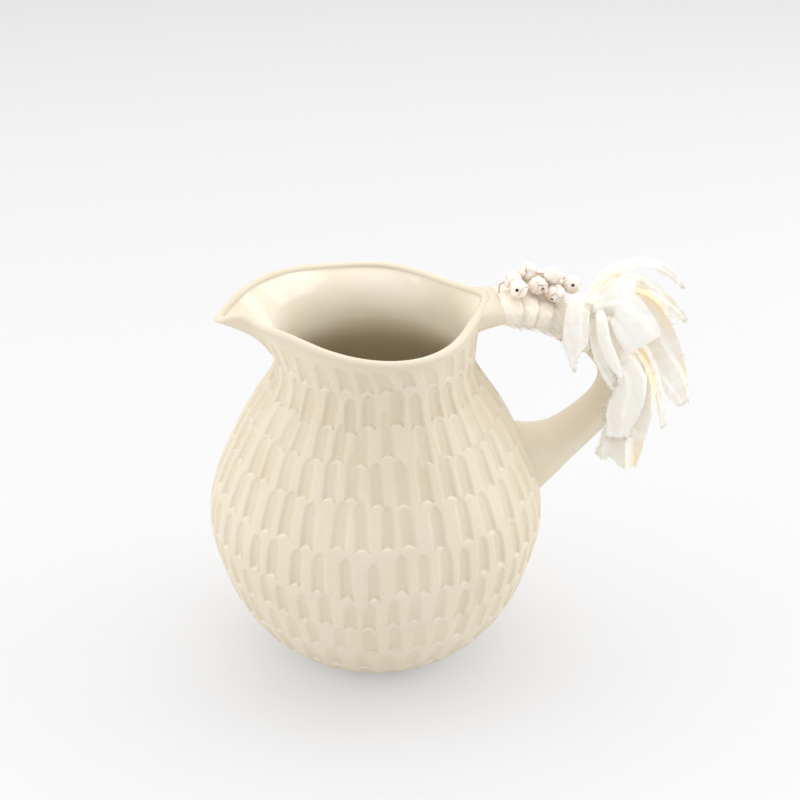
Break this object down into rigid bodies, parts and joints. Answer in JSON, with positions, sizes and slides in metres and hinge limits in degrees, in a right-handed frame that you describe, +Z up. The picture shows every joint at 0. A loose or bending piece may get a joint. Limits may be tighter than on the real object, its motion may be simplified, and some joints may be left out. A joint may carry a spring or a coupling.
{
  "type": "ceramic pitcher",
  "caption": "Round hand-made ceramic pitcher with a pointed open mouth, a strap handle wound with torn cloth, stitched stone beads and a bunch of torn cloth strips.",
  "frame": {"origin": "middle of the foot, on the surface that the pitcher stands on", "axes": "+Z up, +X towards the handle, -X towards the spout, +Y to the side"},
  "size_m": [0.2181, 0.148, 0.1791],
  "materials": {
    "stoneware": "matte",
    "wrap_cloth": "matte",
    "strip_cloth": "matte",
    "bead_stone": "polished",
    "thread": "satin"
  },
  "bodies": {
    "jug": {"vessel_body": "stoneware", "handle": "stoneware", "cloth_wrap": "wrap_cloth", "tie_band": "wrap_cloth", "cloth_knot": "strip_cloth", "bead_thread_1": "thread", "bead_thread_2": "thread", "bead_thread_3": "thread", "bead_thread_4": "thread", "bead_thread_5": "thread", "bead_thread_6": "thread"},
    "bead_1_body": {"bead_1": "bead_stone"},
    "bead_2_body": {"bead_2": "bead_stone"},
    "bead_3_body": {"bead_3": "bead_stone"},
    "bead_4_body": {"bead_4": "bead_stone"},
    "bead_5_body": {"bead_5": "bead_stone"},
    "bead_6_body": {"bead_6": "bead_stone"},
    "bead_7_body": {"bead_7": "bead_stone"},
    "bead_8_body": {"bead_8": "bead_stone"},
    "bead_9_body": {"bead_9": "bead_stone"},
    "bead_10_body": {"bead_10": "bead_stone"},
    "fringe": {"strip_band": "strip_cloth", "strip_leaf": "strip_cloth", "strip_front": "strip_cloth", "strip_shield": "strip_cloth", "strip_back": "strip_cloth", "strip_narrow": "strip_cloth", "strip_right": "strip_cloth", "strip_short": "strip_cloth", "strip_middle": "strip_cloth", "strip_high": "strip_cloth"},
    "tail": {"strip_tail": "strip_cloth"}
  },
  "joints": [
    {"name": "bead_1_turn", "type": "hinge", "parent": "jug", "child": "bead_1_body", "pos_m": [0.06026, -0.00693, 0.17282], "axis": [-0.3567, -0.8969, 0.2615], "continuous": true},
    {"name": "bead_2_turn", "type": "hinge", "parent": "jug", "child": "bead_2_body", "pos_m": [0.06981, -0.00167, 0.17149], "axis": [0.3454, -0.936, -0.0681], "continuous": true},
    {"name": "bead_3_turn", "type": "hinge", "parent": "jug", "child": "bead_3_body", "pos_m": [0.0773, -0.00417, 0.1683], "axis": [-0.6671, -0.6651, -0.3356], "continuous": true},
    {"name": "bead_4_turn", "type": "hinge", "parent": "jug", "child": "bead_4_body", "pos_m": [0.05962, 0.00142, 0.1731], "axis": [0.9949, 0, 0.1005], "continuous": true},
    {"name": "bead_5_turn", "type": "hinge", "parent": "jug", "child": "bead_5_body", "pos_m": [0.06672, 0.00518, 0.17514], "axis": [0.9458, -0.3178, -0.0669], "continuous": true},
    {"name": "bead_6_turn", "type": "hinge", "parent": "jug", "child": "bead_6_body", "pos_m": [0.07306, 0.0081, 0.1706], "axis": [0.9105, -0.4069, 0.0729], "continuous": true},
    {"name": "bead_7_turn", "type": "hinge", "parent": "jug", "child": "bead_7_body", "pos_m": [0.07691, 0.00175, 0.17442], "axis": [0.9458, -0.3178, -0.0669], "continuous": true},
    {"name": "bead_8_turn", "type": "hinge", "parent": "jug", "child": "bead_8_body", "pos_m": [0.08508, 0.00033, 0.17007], "axis": [-0.1003, -0.9484, 0.3008], "continuous": true},
    {"name": "bead_9_turn", "type": "hinge", "parent": "jug", "child": "bead_9_body", "pos_m": [0.06549, 0.01148, 0.16999], "axis": [0.9105, -0.4069, 0.0729], "continuous": true},
    {"name": "bead_10_turn", "type": "hinge", "parent": "jug", "child": "bead_10_body", "pos_m": [0.08012, 0.00635, 0.1667], "axis": [0.6222, 0.3011, 0.7226], "continuous": true},
    {"name": "fringe_swing", "type": "hinge", "parent": "jug", "child": "fringe", "pos_m": [0.09519, 0, 0.15894], "axis": [0, -1, 0], "range_deg": [0, 45]},
    {"name": "tail_swing", "type": "hinge", "parent": "jug", "child": "tail", "pos_m": [0.09519, 0, 0.15894], "axis": [0, -1, 0], "range_deg": [-15, 15]}
  ]
}
